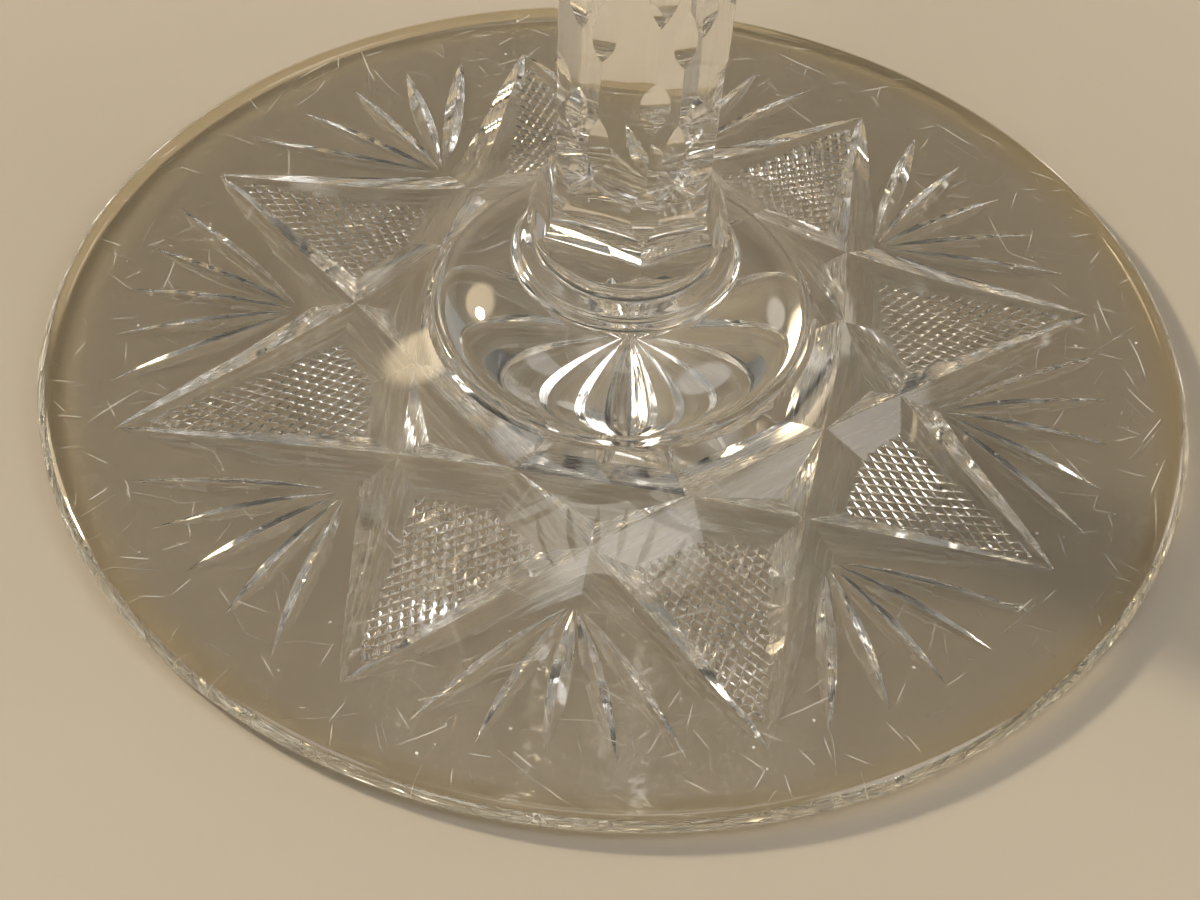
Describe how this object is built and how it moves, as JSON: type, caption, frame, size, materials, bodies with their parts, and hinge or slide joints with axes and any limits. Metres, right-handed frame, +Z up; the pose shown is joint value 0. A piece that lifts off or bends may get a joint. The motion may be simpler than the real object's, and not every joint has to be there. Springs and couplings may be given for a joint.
{
  "type": "footed compote",
  "caption": "Tall footed cut-glass bowl on a notched hexagonal stem and a round foot cut with a star, fans and hatching.",
  "frame": {"origin": "on the axis, at the height of the ring that the foot rests on", "axes": "+Z up along the stem's axis, +X and +Y level; the point of the foot's star nearest +X lies 15.9 degrees from it"},
  "size_m": [0.1592, 0.1592, 0.1808],
  "materials": {
    "foot": "polished, wheel-cut",
    "foot_collar": "fire-polished",
    "lower_merese": "fire-polished",
    "stem": "polished, wheel-cut",
    "upper_merese": "fire-polished",
    "bowl": "polished, wheel-cut"
  },
  "bodies": {
    "root": {"foot": "foot", "foot_collar": "foot_collar", "lower_merese": "lower_merese", "stem": "stem", "upper_merese": "upper_merese", "bowl": "bowl"}
  },
  "joints": []
}
